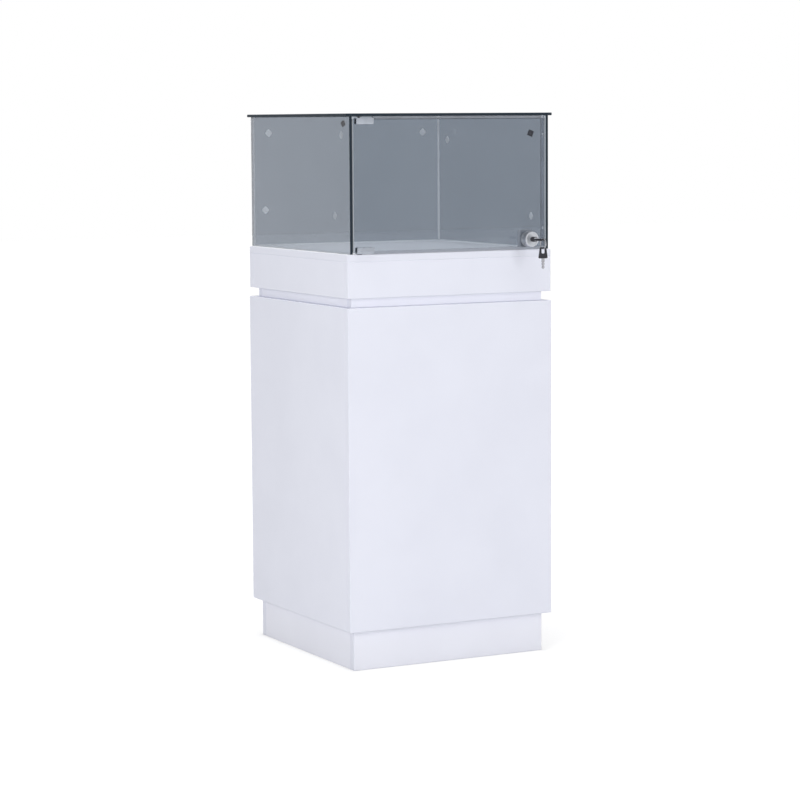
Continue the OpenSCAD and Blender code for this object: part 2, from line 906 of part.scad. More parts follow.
// moulded bow with a slot for the ring and a recess that takes the tang
module bow() {
  slot_y = bow_bar - bow_l;
  grip_depth = 0.5;
  difference() {
    translate([0, 0, -bow_t / 2]) linear_extrude(bow_t) bow_outline();
    translate([0, slot_y + bow_slot_l / 2, -bow_t]) linear_extrude(2 * bow_t)
      round_rect(bow_slot_w, bow_slot_l, bow_corner);
    block([-blade_w / 2 - 0.02, -tang_l - 0.02, -key_t / 2 - 0.02],
          [blade_w / 2 + 0.02, over, key_t / 2 + 0.02]);
    for (side = [-1, 1]) translate([0, -bow_l / 5, side * bow_t / 2])
      cube([grip_w, grip_l, 2 * grip_depth], center = true);
  }
}

// the first key, level in the lock
module at_key() {
  translate([lock_x, -bow_seat, lock_z]) children();
}

// the spare key, hanging from the ring with its blade down
module at_spare_key() {
  translate([lock_x, -bar_mid, spare_top - bow_l]) rotate([-90, 0, 0]) children();
}

module key_blade() {
  color("silver") at_key() blade();
}

module key_bow() {
  color("black") at_key() bow();
}

module spare_key_blade() {
  color("silver") at_spare_key() blade();
}

module spare_key_bow() {
  color("black") at_spare_key() bow();
}

// split ring: two coils side by side
module key_ring() {
  color("silver") translate([lock_x, -bar_mid, ring_z]) rotate([0, 90, 0])
    rotate_extrude() translate([ring_r, 0])
      for (side = [-1, 1]) translate([0, side * ring_wire_r * 0.7]) circle(ring_wire_r, $fn = 24);
}

// ---------------------------------------------------------------- nodes

plinth_front();
plinth_back();
plinth_left();
plinth_right();
plinth_stretcher();
plinth_blocks();
bottom_panel();
side_panel(-1);  // left_side_panel
side_panel(1);  // right_side_panel
front_panel();
back_panel();
cabinet_top_panel();
corner_battens();
panel_screws();
neck_front();
neck_back();
neck_left();
neck_right();
collar_base();
collar_front();
collar_back();
collar_left();
collar_right();
collar_blocks();
deck_panel();
left_glass();
right_glass();
back_glass();
top_glass();
glass_sealant();
glass_pads();
door_stop_strip();
door_bumpers();
top_pivot_bush();
deck_pivot_bush();
strike_plate();
strike_screws();
door_glass();
door_pad();
top_hinge_clamp();
bottom_hinge_clamp();
hinge_pins();
hinge_liners();
hinge_grub_screws();
lock_body();
lock_gaskets();
lock_nut();
lock_case();
lock_case_cover();
lock_case_screws();
lock_plug();
lock_nose_cap();
lock_cam();
lock_cam_screw();
lock_bolt();
key_blade();
key_bow();
key_ring();
spare_key_blade();
spare_key_bow();
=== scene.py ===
"""Looks of the pedestal display case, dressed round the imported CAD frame.

Everything is in metres, in the frame of the CAD: the front with the glass door
faces -Y, Z is up and the floor is at z = 0.
"""
import json
import math

import bmesh
import bpy
from mathutils import Matrix, Vector


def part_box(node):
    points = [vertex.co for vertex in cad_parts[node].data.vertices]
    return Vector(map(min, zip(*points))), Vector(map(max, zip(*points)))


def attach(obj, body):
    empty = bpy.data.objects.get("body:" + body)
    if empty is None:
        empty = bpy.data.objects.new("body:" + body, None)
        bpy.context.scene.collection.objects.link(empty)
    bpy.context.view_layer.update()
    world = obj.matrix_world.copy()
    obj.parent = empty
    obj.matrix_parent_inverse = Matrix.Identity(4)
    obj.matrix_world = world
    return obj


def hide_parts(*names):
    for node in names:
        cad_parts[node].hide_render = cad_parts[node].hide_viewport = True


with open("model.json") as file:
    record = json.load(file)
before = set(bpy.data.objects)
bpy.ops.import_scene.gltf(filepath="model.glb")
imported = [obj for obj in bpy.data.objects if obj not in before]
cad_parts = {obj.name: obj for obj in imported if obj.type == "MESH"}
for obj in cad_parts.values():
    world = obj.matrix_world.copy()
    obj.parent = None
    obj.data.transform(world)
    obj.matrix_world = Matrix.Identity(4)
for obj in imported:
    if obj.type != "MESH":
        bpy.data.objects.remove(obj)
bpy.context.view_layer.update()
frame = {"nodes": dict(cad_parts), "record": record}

MM = 0.001
NODES = frame["nodes"]
SLOT_OF = {part["node"]: part["material_slot"] for part in frame["record"]["subparts"]}
BODY_OF = {
    node: body
    for body, nodes in frame["record"]["behaviour"]["bodies"].items()
    for node in nodes
}

# ------------------------------------------------------------------ camera

CAMERA_PLACE = (-2.7415, -5.245449, 1.175051)
CAMERA_AZIMUTH = 27.626426
CAMERA_ELEVATION = -6.007969
CAMERA_ROLL = -0.360233
CAMERA_LENS = 119.194104
CAMERA_SENSOR = 36.0
FAR = 60.0

# ------------------------------------------------------------------ light

AMBIENT = 0.42          # white dome, as it lights the object
FLOOR_COLOUR = (0.50, 0.50, 0.50, 1)
FLOOR_LIFT = (0.56, 0.84)       # added where the floor is seen: near and far
FLOOR_REACH = (0.8, 3.0)        # how far from the middle near ends and far starts
FLOOR_HALF = 20.0
FLOOR_DROP = 0.2 * MM           # keeps the floor clear of the case's feet
LAMPS = (               # name, place, target, side, watts
    ("key", (1.6, -4.8, 0.8), (0, 0, 0.8), 1.6, 60),
    ("fill", (-4.0, -2.9, 1.5), (0, 0, 0.8), 2.0, 115),
    ("top", (0, 0, 4.2), (0, 0, 0.9), 2.0, 130),
)

# ------------------------------------------------------------------ colours

SHEET_LOW = (0.765, 0.780, 0.870, 1)
SHEET_HIGH = (0.785, 0.800, 0.890, 1)
STRIP = (0.765, 0.780, 0.870, 1)        # edge strips of every board
LIT_RAIL_LOW = (0.830, 0.840, 0.920, 1)     # neck and plinth boards, painted lighter than the other boards to undo the shade in their recess
LIT_RAIL_HIGH = (0.850, 0.860, 0.940, 1)
DECK_LOW = (0.840, 0.845, 0.865, 1)
DECK_HIGH = (0.860, 0.865, 0.885, 1)
BOARD_DARK = (0.34, 0.24, 0.15, 1)
BOARD_PALE = (0.56, 0.44, 0.30, 1)
GLASS_LOW = (0.516, 0.554, 0.598, 1)
GLASS_HIGH = (0.536, 0.574, 0.618, 1)
GLASS_DEPTH = (0.02, 0.07, 0.18, 1)     # deepens with the way through a pane
GLASS_DENSITY = 30.0
SMOKE = (0.72, 0.73, 0.77, 1)
DARK_SMOKE = (0.46, 0.47, 0.50, 1)      # the strip above the door
EDGE = (0.018, 0.026, 0.036, 1)         # arrises that look into the depth of a pane, painted near black for the shade seen in that depth
DOOR_EDGE = (0.42, 0.45, 0.48, 1)       # the door's arrises, ground matt
BACK_EDGE = (0.80, 0.82, 0.86, 1)       # the ends at the back, which let light in
SILICONE = (0.93, 0.94, 0.95, 1)
CLEAR = (0.97, 0.97, 0.97, 1)           # what a clear surface lets through as light

METALS = {          # colour, range of roughness, and how far the grain is stretched
    # the hinge pins, painted near black for the shade they stand in
    "pin_painted_shade": ((0.05, 0.05, 0.055), (0.3, 0.45)),
    "zinc_steel": ((0.60, 0.60, 0.57), (0.28, 0.42)),
    "satin_steel": ((0.56, 0.56, 0.57), (0.25, 0.4), (1, 1, 0.08)),
    "satin_chrome": ((0.40, 0.43, 0.485), (0.26, 0.38), (0.08, 1, 1)),
    "bright_chrome": ((0.64, 0.66, 0.70), (0.46, 0.58)),
    "nickel_key": ((0.46, 0.46, 0.49), (0.22, 0.36), (1, 0.1, 1)),
}
MOULDINGS = {       # colour, range of roughness, and the texture's fineness and height
    # nylon of the hinge bushes, painted dark for the shade round the hinge pins
    "nylon": ((0.10, 0.10, 0.11), (0.4, 0.5), 300.0, 0.02 * MM),
    "pale_enamel": ((0.50, 0.51, 0.54), (0.35, 0.45), 300.0, 0.02 * MM),
    "eye": ((0.10, 0.105, 0.13), (0.5, 0.6), 500.0, 0.03 * MM),
    "grey_liner": ((0.09, 0.09, 0.10), (0.6, 0.75), 500.0, 0.05 * MM),
    "grey_pad": ((0.045, 0.045, 0.060), (0.6, 0.8), 500.0, 0.05 * MM),
    "grey_seal": ((0.255, 0.275, 0.32), (0.4, 0.5), 500.0, 0.03 * MM),
    "black_rubber": ((0.012, 0.012, 0.013), (0.6, 0.8), 500.0, 0.05 * MM),
    "black_plastic": ((0.011, 0.011, 0.016), (0.5, 0.62), 900.0, 0.05 * MM),
}
ONE_OFF = {         # nodes whose look is not their slot's
    # the pins' near black is painted shade
    "hinge_pins": "pin_painted_shade",
    "deck_panel": "white_deck",
    "door_pad": "grey_pad",
    "lock_case": "pale_enamel",
    "lock_case_cover": "pale_enamel",
}

# ------------------------------------------------------------------ forms

SCREWS = ("panel_screws", "strike_screws", "lock_case_screws", "lock_cam_screw")
BLADES = ("key_blade", "spare_key_blade")
ROUNDED = {         # nodes with rounded edges, and how far
    "key_bow": 0.6 * MM,
    "spare_key_bow": 0.6 * MM,
    "top_hinge_clamp": 0.7 * MM,
    "bottom_hinge_clamp": 0.7 * MM,
    "lock_body": 0.25 * MM,
    "lock_plug": 0.15 * MM,
    "lock_nose_cap": 0.3 * MM,
    "lock_nut": 0.3 * MM,
    "lock_case": 0.3 * MM,
    "lock_case_cover": 0.3 * MM,
    "lock_cam": 0.2 * MM,
    "lock_bolt": 0.3 * MM,
    "strike_plate": 0.2 * MM,
    "door_pad": 0.2 * MM,
}
SIDE_PAD = (-0.2145, 1.1708)    # y and z of the middle of the pad on the left pane
DOME_RINGS = (                  # shares of a dome's half width and height
    (1.0, 0.0), (0.99, 0.45), (0.93, 0.8), (0.8, 0.97), (0.4, 1.0),
)
ROUND_POWER = 2                 # a dome's outline: round, and nearly square
SQUARE_POWER = 6

# angles in degrees over which an edge is rounded, or stays sharp
ROUNDED_OVER = 40
BOX_SHARP = 32
BEAD_SHARP = 40
WIRE_SHARP = 50
DOME_SHARP = 60


# ------------------------------------------------------------------ node tools

NOISE_LOW, NOISE_HIGH = 0.35, 0.65          # nearly all noise lies between them
MIX_AMOUNT, MIX_A, MIX_B, MIX_RESULT = 0, 6, 7, 2   # the Mix node's colour sockets


def feed(tree, socket, value):
    """Links value to the socket if it's a socket itself, else sets it."""
    if isinstance(value, bpy.types.NodeSocket):
        tree.links.new(value, socket)
    else:
        socket.default_value = value


def add(tree, kind, inputs=None, **settings):
    """A new node with its settings and inputs."""
    node = tree.nodes.new(kind)
    for name, value in settings.items():
        setattr(node, name, value)
    for key, value in (inputs or {}).items():
        feed(tree, node.inputs[key], value)
    return node


def maths(tree, operation, a, b=0.0):
    """The result of one operation on a and b."""
    return add(tree, "ShaderNodeMath", {0: a, 1: b}, operation=operation).outputs[0]


def noise(tree, scale, detail=2.0, stretch=(1, 1, 1)):
    """Noise in the piece's own metres, which stays on it as it moves."""
    where = add(tree, "ShaderNodeTexCoord").outputs["Object"]
    inputs = {"Vector": where, "Scale": stretch}
    where = add(tree, "ShaderNodeMapping", inputs).outputs[0]
    inputs = {"Vector": where, "Scale": scale, "Detail": detail}
    return add(tree, "ShaderNodeTexNoise", inputs).outputs["Fac"]


def spread(tree, value, low, high, start=NOISE_LOW, end=NOISE_HIGH):
    """value, which runs from start to end, carried over to low to high."""
    inputs = {
        "Value": value,
        "From Min": start, "From Max": end,
        "To Min": low, "To Max": high,
    }
    return add(tree, "ShaderNodeMapRange", inputs).outputs["Result"]


def blend(tree, amount, a, b):
    """A colour that is a where amount is 0 and b where it is 1."""
    node = add(tree, "ShaderNodeMix", data_type="RGBA")
    for key, value in ((MIX_AMOUNT, amount), (MIX_A, a), (MIX_B, b)):
        feed(tree, node.inputs[key], value)
    return node.outputs[MIX_RESULT]


def tone(tree, shader, pattern, low, high):
    """Gives the surface a colour from low to high, by the pattern."""
    colour = blend(tree, spread(tree, pattern, 0, 1), low, high)
    feed(tree, shader.inputs["Base Color"], colour)


def bump(tree, shader, height, distance):
    """Raises the surface by distance metres where height is 1."""
    inputs = {"Height": height, "Distance": distance, "Strength": 1.0}
    feed(tree, shader.inputs["Normal"], add(tree, "ShaderNodeBump", inputs).outputs[0])


def facing(tree, axis):
    """1 on faces square to the axis and 0 on the others."""
    normal = add(tree, "ShaderNodeTexCoord").outputs["Normal"]
    part = add(tree, "ShaderNodeSeparateXYZ", {"Vector": normal}).outputs[axis]
    return spread(tree, maths(tree, "ABSOLUTE", part), 0, 1, start=0.8, end=0.97)


def seen_directly(tree):
    """1 for rays from the camera, off metal or through glass, which see white."""
    path = add(tree, "ShaderNodeLightPath").outputs
    bent = maths(tree, "MAXIMUM", path["Is Glossy Ray"], path["Is Transmission Ray"])
    return maths(tree, "MAXIMUM", path["Is Camera Ray"], bent)


def let_light_in(tree, shader):
    """Lets light through a clear surface to the things behind it, without caustics."""
    path = add(tree, "ShaderNodeLightPath").outputs
    lighting = maths(tree, "MAXIMUM", path["Is Shadow Ray"], path["Is Diffuse Ray"])
    clear = add(tree, "ShaderNodeBsdfTransparent", {"Color": CLEAR}).outputs[0]
    inputs = {0: lighting, 1: shader.outputs[0], 2: clear}
    both = add(tree, "ShaderNodeMixShader", inputs).outputs[0]
    feed(tree, tree.nodes["Material Output"].inputs["Surface"], both)


def principled(name, values):
    """A new material with its tree and its shader, which is given the values."""
    material = bpy.data.materials.new(name)
    material.use_nodes = True
    tree = material.node_tree
    shader = tree.nodes["Principled BSDF"]
    for key, value in values.items():
        shader.inputs[key].default_value = value
    return material, tree, shader


def scaled(colour, factor, lift=0.0):
    """The colour times factor, plus lift."""
    return tuple(factor * c + lift for c in colour[:3]) + (1,)


# ------------------------------------------------------------------ materials


def laminate(name, axis, low, high):
    """White satin laminate on a board that is thin along axis, with edge strips."""
    material, tree, shader = principled(name + "_" + "xyz"[axis], {"IOR": 1.38})
    clouds = spread(tree, noise(tree, scale=7.0), 0, 1)
    sheet = blend(tree, clouds, low, high)
    on_sheet = facing(tree, axis)
    feed(tree, shader.inputs["Base Color"], blend(tree, on_sheet, STRIP, sheet))
    satin = spread(tree, noise(tree, scale=60.0, detail=3.0), low=0.40, high=0.48)
    feed(tree, shader.inputs["Roughness"], satin)
    bump(tree, shader, noise(tree, scale=900.0), 0.02 * MM)
    return material


def raw_board():
    """Fibres and flecks of raw board and softwood, out of sight in the pedestal."""
    material, tree, shader = principled("inner_board", {"Roughness": 0.8})
    fibres = noise(tree, scale=240.0, detail=4.0, stretch=(1, 1, 0.12))
    clouds = noise(tree, scale=14.0)
    mean = maths(tree, "MULTIPLY", maths(tree, "ADD", fibres, clouds), 0.5)
    tone(tree, shader, mean, BOARD_DARK, BOARD_PALE)
    bump(tree, shader, fibres, 0.15 * MM)
    return material


def tinted_glass():
    """Grey float glass with the faint waves of tempering, darker along its depth."""
    values = {"Roughness": 0.0, "IOR": 1.40, "Transmission Weight": 1.0}
    material, tree, shader = principled("tinted_glass", values)
    film = noise(tree, scale=6.0, detail=3.0)
    tone(tree, shader, film, GLASS_LOW, GLASS_HIGH)
    waves = noise(tree, scale=5.0, detail=0.0, stretch=(1, 1, 0.4))
    bump(tree, shader, waves, 0.05 * MM)
    let_light_in(tree, shader)
    inputs = {"Color": GLASS_DEPTH, "Density": GLASS_DENSITY}
    depth = add(tree, "ShaderNodeVolumeAbsorption", inputs)
    feed(tree, tree.nodes["Material Output"].inputs["Volume"], depth.outputs[0])
    return material


def ground_glass(name, colour, gleam, through=0.0):
    """The matt ground arris round a pane's edges and in its drilled holes."""
    values = {
        "IOR": 1.4, "Specular IOR Level": gleam, "Roughness": 0.5,
        "Transmission Weight": through,
    }
    material, tree, shader = principled(name, values)
    grit = noise(tree, scale=1500.0)
    tone(tree, shader, grit, colour, scaled(colour, 1.15))
    bump(tree, shader, grit, 0.03 * MM)
    return material


def clear_silicone():
    """Milky clear silicone."""
    values = {"IOR": 1.41, "Transmission Weight": 0.06, "Roughness": 0.4}
    material, tree, shader = principled("clear_silicone", values)
    milk = noise(tree, scale=220.0)
    tone(tree, shader, milk, SILICONE, scaled(SILICONE, 1.04))
    bump(tree, shader, noise(tree, scale=420.0), 0.05 * MM)
    let_light_in(tree, shader)
    return material


def smoke_acrylic(name, colour):
    """Smoke tinted acrylic, drawn along its length."""
    values = {"IOR": 1.49, "Transmission Weight": 0.9, "Roughness": 0.08}
    material, tree, shader = principled(name, values)
    tone(tree, shader, noise(tree, scale=40.0), colour, scaled(colour, 1.15))
    waves = noise(tree, scale=120.0, detail=1.0, stretch=(1, 1, 0.1))
    bump(tree, shader, waves, 0.02 * MM)
    let_light_in(tree, shader)
    return material


def metal(name, colour, rough, stretch=(1, 1, 1)):
    """Metal with a fine grain, whose roughness runs over the two numbers of rough."""
    material, tree, shader = principled(name, {"Metallic": 1.0})
    grain = noise(tree, scale=300.0, detail=3.0, stretch=stretch)
    clouds = noise(tree, scale=90.0)
    tone(tree, shader, clouds, scaled(colour, 0.9), scaled(colour, 1.0))
    feed(tree, shader.inputs["Roughness"], spread(tree, grain, *rough))
    bump(tree, shader, grain, 0.004 * MM)
    return material


def moulded(name, colour, rough, fineness, height):
    """Plastic, rubber or enamel with a fine texture."""
    material, tree, shader = principled(name, {"IOR": 1.5})
    pebble = noise(tree, fineness, detail=3.0)
    tone(tree, shader, pebble, scaled(colour, 1.0), scaled(colour, 1.25, 0.004))
    feed(tree, shader.inputs["Roughness"], spread(tree, pebble, *rough))
    bump(tree, shader, pebble, height)
    return material


SHEETS = [laminate("white_laminate", axis, SHEET_LOW, SHEET_HIGH) for axis in range(3)]
# copies of the laminate painted lighter, against the shade in the neck and plinth
# recesses
LIT_RAILS = [laminate("white_rail_painted_lit", axis, LIT_RAIL_LOW, LIT_RAIL_HIGH) for axis in range(3)]
# arrises painted near black, the shade seen looking into a pane's depth
GLASS_EDGE_SHADED = ground_glass("glass_edge_painted_shade", EDGE, gleam=0.15)
GLASS_BACK_EDGE = ground_glass("glass_back_edge", BACK_EDGE, gleam=0.5, through=1.0)
GLASS_DOOR_EDGE = ground_glass("glass_door_edge", DOOR_EDGE, gleam=0.5)
MATERIALS = {
    "inner_board": raw_board(),
    "tinted_glass": tinted_glass(),
    "clear_silicone": clear_silicone(),
    "smoke_acrylic": smoke_acrylic("smoke_acrylic", SMOKE),
    "dark_smoke_acrylic": smoke_acrylic("dark_smoke_acrylic", DARK_SMOKE),
    "white_deck": laminate("white_deck", 2, DECK_LOW, DECK_HIGH),
    **{name: metal(name, *look) for name, look in METALS.items()},
    **{name: moulded(name, *look) for name, look in MOULDINGS.items()},
}


def material_of(node):
    """The material of a CAD node; a board's depends on the way it's thin."""
    name = ONE_OFF.get(node, SLOT_OF[node])
    if name in MATERIALS:
        return MATERIALS[name]
    low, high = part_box(node)
    size = list(high - low)
    # neck and plinth boards take the copy painted lighter, against the shade of their
    # recess
    boards = LIT_RAILS if node.startswith(("neck", "plinth")) else SHEETS
    return boards[size.index(min(size))]


# ------------------------------------------------------------------ mesh tools


def shade(mesh, angle):
    """Smooth, except at edges sharper than angle degrees."""
    mesh.shade_smooth()
    mesh.set_sharp_from_angle(angle=math.radians(angle))


def placed(name, bm, material=None, angle=None):
    """A new object of one material, with flat faces unless an angle is given."""
    bmesh.ops.recalc_face_normals(bm, faces=bm.faces)
    mesh = bpy.data.meshes.new(name)
    bm.to_mesh(mesh)
    bm.free()
    if angle:
        shade(mesh, angle)
    if material:
        mesh.materials.append(material)
    piece = bpy.data.objects.new(name, mesh)
    bpy.context.scene.collection.objects.link(piece)
    return piece


def stand_in(node, bm, angle=None):
    """A piece that stands for a CAD node: it rides, and is finished, as the node."""
    piece = placed(node + "_form", bm, material_of(node), angle)
    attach(piece, BODY_OF[node])
    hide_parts(node)
    return piece


def joined(node):
    """The node's solid as a bmesh with shared vertices and few flat faces."""
    weld, flat = 1e-6, math.radians(0.5)
    bm = bmesh.new()
    bm.from_mesh(NODES[node].data)
    bmesh.ops.remove_doubles(bm, verts=bm.verts, dist=weld)
    bmesh.ops.dissolve_limit(bm, angle_limit=flat, verts=bm.verts, edges=bm.edges)
    return bm


def softened(node, width, segments, cutter=None):
    """Stands for the node with its edges rounded, and a cutter's shape cut out."""
    piece = stand_in(node, joined(node))
    if cutter:
        tool = placed("cutter", cutter)
        cut = piece.modifiers.new("cut", "BOOLEAN")
        cut.object, cut.operation, cut.solver = tool, "DIFFERENCE", "EXACT"
    edge = piece.modifiers.new("edge", "BEVEL")
    edge.width, edge.segments = width, segments
    edge.limit_method, edge.angle_limit = "ANGLE", math.radians(ROUNDED_OVER)
    graph = bpy.context.evaluated_depsgraph_get()
    piece.data = bpy.data.meshes.new_from_object(piece.evaluated_get(graph))
    piece.modifiers.clear()
    if cutter:
        bpy.data.objects.remove(tool)
    shade(piece.data, BOX_SHARP)


def prism(bm, outline, place, u, v, w, depth):
    """Adds the outline, drawn along u and v at place, carried depth along w."""
    near = [bm.verts.new(place + a * u + b * v) for a, b in outline]
    far = [bm.verts.new(p.co + depth * w) for p in near]
    bm.faces.new(near)
    bm.faces.new(reversed(far))
    for i in range(len(near)):
        j = (i + 1) % len(near)
        bm.faces.new((near[i], far[i], far[j], near[j]))


def skin(bm, rings):
    """Adds the faces from each ring of vertices to the next, and over both ends."""
    for low, high in zip(rings, rings[1:]):
        for k in range(len(low)):
            bm.faces.new((low[k - 1], low[k], high[k], high[k - 1]))
    bm.faces.new(rings[0])
    bm.faces.new(rings[-1])


def dome(bm, centre, way, half, height, power, turn=0.0):
    """Adds a low dome: round at power 2, and nearly square at a higher power."""
    steps = 40
    u = way.orthogonal().normalized()
    v = way.cross(u)
    rings = []
    for share, rise in DOME_RINGS:
        ring = []
        for k in range(steps):
            a = 2 * math.pi * k / steps
            reach = abs(math.cos(a)) ** power + abs(math.sin(a)) ** power
            radius = half * share * reach ** (-1 / power)
            flat = radius * (math.cos(a + turn) * u + math.sin(a + turn) * v)
            ring.append(bm.verts.new(centre + flat + rise * height * way))
        rings.append(ring)
    skin(bm, rings)


def solids(node):
    """The vertices of each separate solid of a node."""
    bm = joined(node)
    left, found = set(bm.verts), []
    while left:
        patch, edge = [], [left.pop()]
        while edge:
            vert = edge.pop()
            patch.append(vert.co.copy())
            for link in vert.link_edges:
                other = link.other_vert(vert)
                if other in left:
                    left.remove(other)
                    edge.append(other)
        found.append(patch)
    bm.free()
    return found


# ------------------------------------------------------------------ hardware


def screw_heads(node):
    """(centre of the head's face, way out, radius) of each screw in a node."""
    near = 0.05 * MM
    heads = []
    for points in solids(node):
        low = Vector([min(p[i] for p in points) for i in range(3)])
        high = Vector([max(p[i] for p in points) for i in range(3)])
        size, middle = high - low, (low + high) / 2
        axis = max(range(3), key=lambda i: size[i])
        ends = []
        for face, sign in ((low, -1), (high, 1)):
            rim = [p for p in points if abs(p[axis] - face[axis]) < near]
            centre = middle.copy()
            centre[axis] = face[axis]
            way = Vector([sign * (i == axis) for i in range(3)])
            ends.append((max((p - centre).length for p in rim), centre, way))
        radius, centre, way = max(ends, key=lambda end: end[0])
        heads.append((centre, way, radius))
    return heads


def crossed_screws(node):
    """The node's screws with a cross recess in each head."""
    arm_share, half_share, above, depth = 0.62, 0.13, 0.1, 0.5     # of the radius
    cutter = bmesh.new()
    for centre, way, radius in screw_heads(node):
        u = way.orthogonal().normalized()
        v = way.cross(u)
        arm, half = arm_share * radius, half_share * radius
        quarter = [(arm, -half), (arm, half), (half, half)]
        outline = []
        for _ in range(4):
            outline += quarter
            quarter = [(-b, a) for a, b in quarter]
        place = centre + above * radius * way
        prism(cutter, outline, place, u, v, -way, depth * radius)
    softened(node, 0.08 * MM, segments=1, cutter=cutter)


def grooved_blade(node):
    """A key's blade with a milled groove along both faces."""
    start, end, depth = 0.3 * MM, 1.6 * MM, 0.45 * MM
    low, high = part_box(node)
    size = high - low
    flat, wide, long = sorted(range(3), key=lambda i: size[i])
    unit = [Vector([float(i == axis) for i in range(3)]) for axis in (flat, wide, long)]
    outline = [
        (start, -MM), (end, -MM), (end, size[long] + MM), (start, size[long] + MM),
    ]
    cutter = bmesh.new()
    for face, sign in ((high, 1), (low, -1)):
        place = (low + high) / 2
        place[long] = low[long]
        place[flat] = face[flat] + sign * MM
        across, into = sign * unit[1], -sign * unit[0]
        prism(cutter, outline, place, across, unit[2], into, MM + depth)
    softened(node, 0.12 * MM, segments=1, cutter=cutter)


def split_ring():
    """Two turns of wire, which cross over from one side to the other."""
    wire, sides, turns, steps = 0.62 * MM, 12, 2, 200
    crossing = 0.35                 # half the angle over which the wire crosses
    start = -0.6                    # its ends lie at the back, away from the key
    low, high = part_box("key_ring")
    centre = (low + high) / 2
    reach = (high.z - low.z) / 2 - wire
    side = (high.x - low.x) / 2 - wire
    across = Vector((1, 0, 0))
    bm = bmesh.new()
    rings = []
    for k in range(steps + 1):
        a = 2 * math.pi * turns * k / steps
        over = max(-1.0, min(1.0, (a - math.pi * turns) / crossing))
        x = side * math.sin(over * math.pi / 2)
        out = Vector((0, math.cos(a + start), math.sin(a + start)))
        point = centre + reach * out + x * across
        rings.append([
            bm.verts.new(point + wire * (math.cos(b) * out + math.sin(b) * across))
            for b in (2 * math.pi * i / sides for i in range(sides))
        ])
    skin(bm, rings)
    stand_in("key_ring", bm, WIRE_SHARP)


# ------------------------------------------------------------------ glass case


def pane(node, edge, ends=(), bonded=None):
    """A pane whose arrises have the look of edge.

    ends holds pairs of a material and the directions of the ends that have it instead.
    The ends across the bonded axis leave room for a film of silicone.
    """
    film, near = 0.1 * MM, 0.01 * MM
    square_on, towards = 0.999, 0.5         # cosines
    bm = joined(node)
    low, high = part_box(node)
    size = high - low
    thin = min(range(3), key=lambda i: size[i])
    if bonded is not None:
        for vert in bm.verts:
            for face, sign in ((low, 1), (high, -1)):
                if abs(vert.co[bonded] - face[bonded]) < near:
                    vert.co[bonded] += sign * film
    piece = stand_in(node, bm)
    piece.data.materials.append(edge)
    for material, _ in ends:
        piece.data.materials.append(material)
    for face in piece.data.polygons:
        if abs(face.normal[thin]) > square_on:
            continue
        face.material_index = 1
        for index, (_, ways) in enumerate(ends, 2):
            if any(face.normal.dot(Vector(way)) > towards for way in ways):
                face.material_index = index


def top_stop():
    """A thin smoked strip under the top pane, which the door's upper edge closes on."""
    height, clear, rounding = 7 * MM, 3 * MM, 0.6 * MM
    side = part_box("door_stop_strip")
    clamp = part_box("top_hinge_clamp")[1]
    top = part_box("left_glass")[1].z
    low = Vector((clamp.x + clear, side[0].y, top - height))
    high = Vector((side[0].x, side[1].y, top))
    bm = bmesh.new()
    bmesh.ops.create_cube(bm, size=1.0)
    for vert in bm.verts:
        vert.co = Vector([h if c > 0 else l for c, l, h in zip(vert.co, low, high)])
    bmesh.ops.bevel(bm, geom=bm.edges[:], offset=rounding, segments=2, affect="EDGES")
    look = MATERIALS["dark_smoke_acrylic"]
    piece = placed("top_stop_strip", bm, look, BOX_SHARP)
    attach(piece, "case")


def side_pad():
    """A dark rubber pad on the left pane, close to the door's top hinge."""
    half, height, power, turn, widening = 6.0 * MM, 1.0 * MM, 5, 0.3, 0.5
    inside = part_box("left_glass")[1].x
    foot = Vector((inside, *SIDE_PAD))
    bm = bmesh.new()
    dome(bm, foot, Vector((1, 0, 0)), half, height, power, turn)
    for vert in bm.verts:
        vert.co.y += widening * (vert.co.y - foot.y)
    piece = placed("side_pad", bm, MATERIALS["grey_pad"], DOME_SHARP)
    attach(piece, "case")


def pad_eye():
    """A paler soft button in the eye of the door's pad."""
    half, height = 2.5 * MM, 0.8 * MM
    low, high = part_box("door_pad")
    foot = Vector(((low.x + high.x) / 2, low.y, (low.z + high.z) / 2))
    bm = bmesh.new()
    dome(bm, foot, Vector((0, 1, 0)), half, height, ROUND_POWER)
    piece = placed("door_pad_eye", bm, MATERIALS["eye"], DOME_SHARP)
    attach(piece, "door")


def door_seal():
    """A soft channel on the door's lower edge, which closes the gap above the deck."""
    clear, wall, lip, rounding = 0.5 * MM, 0.7 * MM, 2.2 * MM, 0.15 * MM
    low = 0.6 * MM                  # over the deck
    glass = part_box("door_glass")
    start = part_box("bottom_hinge_clamp")[1].x + clear
    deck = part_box("deck_panel")[1].z
    half = (glass[1].y - glass[0].y) / 2
    side, foot = half + wall, glass[0].z - deck
    top = foot + lip
    outline = [
        (-side, low), (side, low), (side, top), (half, top),
        (half, foot), (-half, foot), (-half, top), (-side, top),
    ]
    place = Vector((start, glass[0].y + half, deck))
    ways = [Vector(way) for way in ((0, 1, 0), (0, 0, 1), (1, 0, 0))]
    bm = bmesh.new()
    prism(bm, outline, place, *ways, glass[1].x - clear - start)
    bmesh.ops.bevel(bm, geom=bm.edges[:], offset=rounding, segments=2, affect="EDGES")
    piece = placed("door_seal", bm, MATERIALS["grey_seal"], BOX_SHARP)
    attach(piece, "door")


